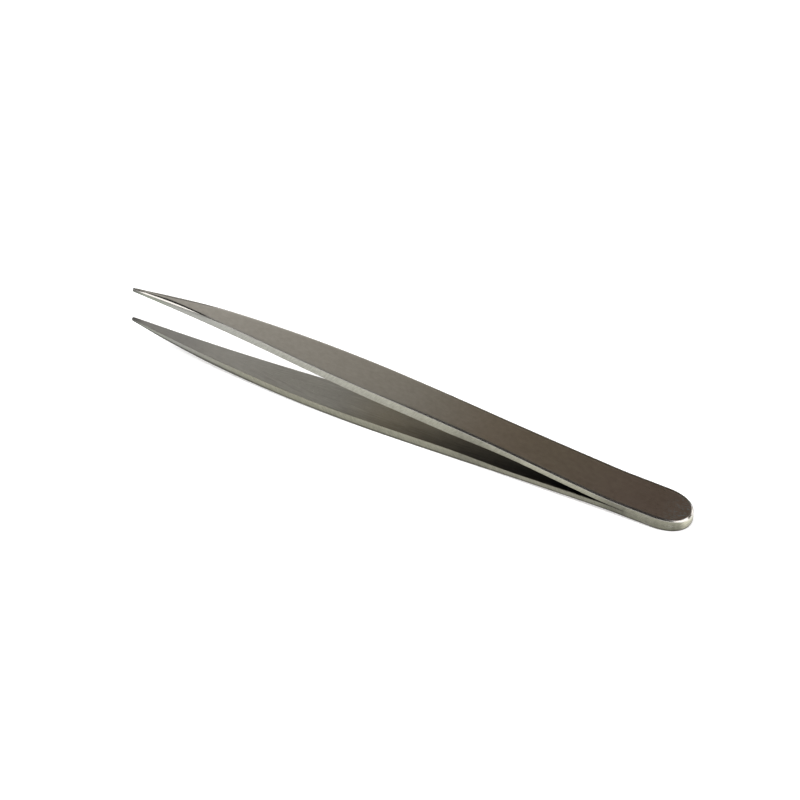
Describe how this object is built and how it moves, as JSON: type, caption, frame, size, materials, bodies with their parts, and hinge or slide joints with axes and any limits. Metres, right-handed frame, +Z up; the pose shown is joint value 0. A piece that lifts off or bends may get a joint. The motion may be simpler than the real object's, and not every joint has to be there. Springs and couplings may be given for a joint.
{
  "type": "precision tweezers",
  "caption": "Straight fine-point precision tweezers: two bowed spring steel strips welded at a flat rounded heel, closing at needle points.",
  "frame": {"origin": "centre of the footprint on the plane that the tool rests on (z = 0), lying on the outer face of its lower strip", "axes": "+X along the tool from the tail end towards the points, +Y across its width, +Z up, out of the upper strip's outer face"},
  "size_m": [0.12, 0.0086, 0.0135],
  "materials": {
    "heel_steel": "satin, lengthwise grain",
    "spring_steel": "satin, lengthwise grain",
    "arm_steel": "satin, lengthwise grain, ground edges",
    "weld_steel": "as fused"
  },
  "bodies": {
    "heel": {"upper_heel": "heel_steel", "lower_heel": "heel_steel", "weld_nuggets": "weld_steel", "upper_spring": "spring_steel", "lower_spring": "spring_steel"},
    "upper_arm": {"upper_arm": "arm_steel"},
    "lower_arm": {"lower_arm": "arm_steel"}
  },
  "joints": [
    {"name": "upper_arm_flex", "type": "hinge", "parent": "heel", "child": "upper_arm", "pos_m": [-0.03015, 0, 0.00495], "axis": [0, 1, 0], "range_deg": [0, 2.33], "stiffness_Nm_per_rad": 0.3, "deforming": ["upper_spring"]},
    {"name": "lower_arm_flex", "type": "hinge", "parent": "heel", "child": "lower_arm", "pos_m": [-0.02992, 0, 0.0012], "axis": [0, -1, 0], "range_deg": [0, 2.33], "stiffness_Nm_per_rad": 0.3, "deforming": ["lower_spring"]}
  ],
  "couplings": [
    {"joint": "lower_arm_flex", "follows": "upper_arm_flex", "ratio": 1}
  ]
}
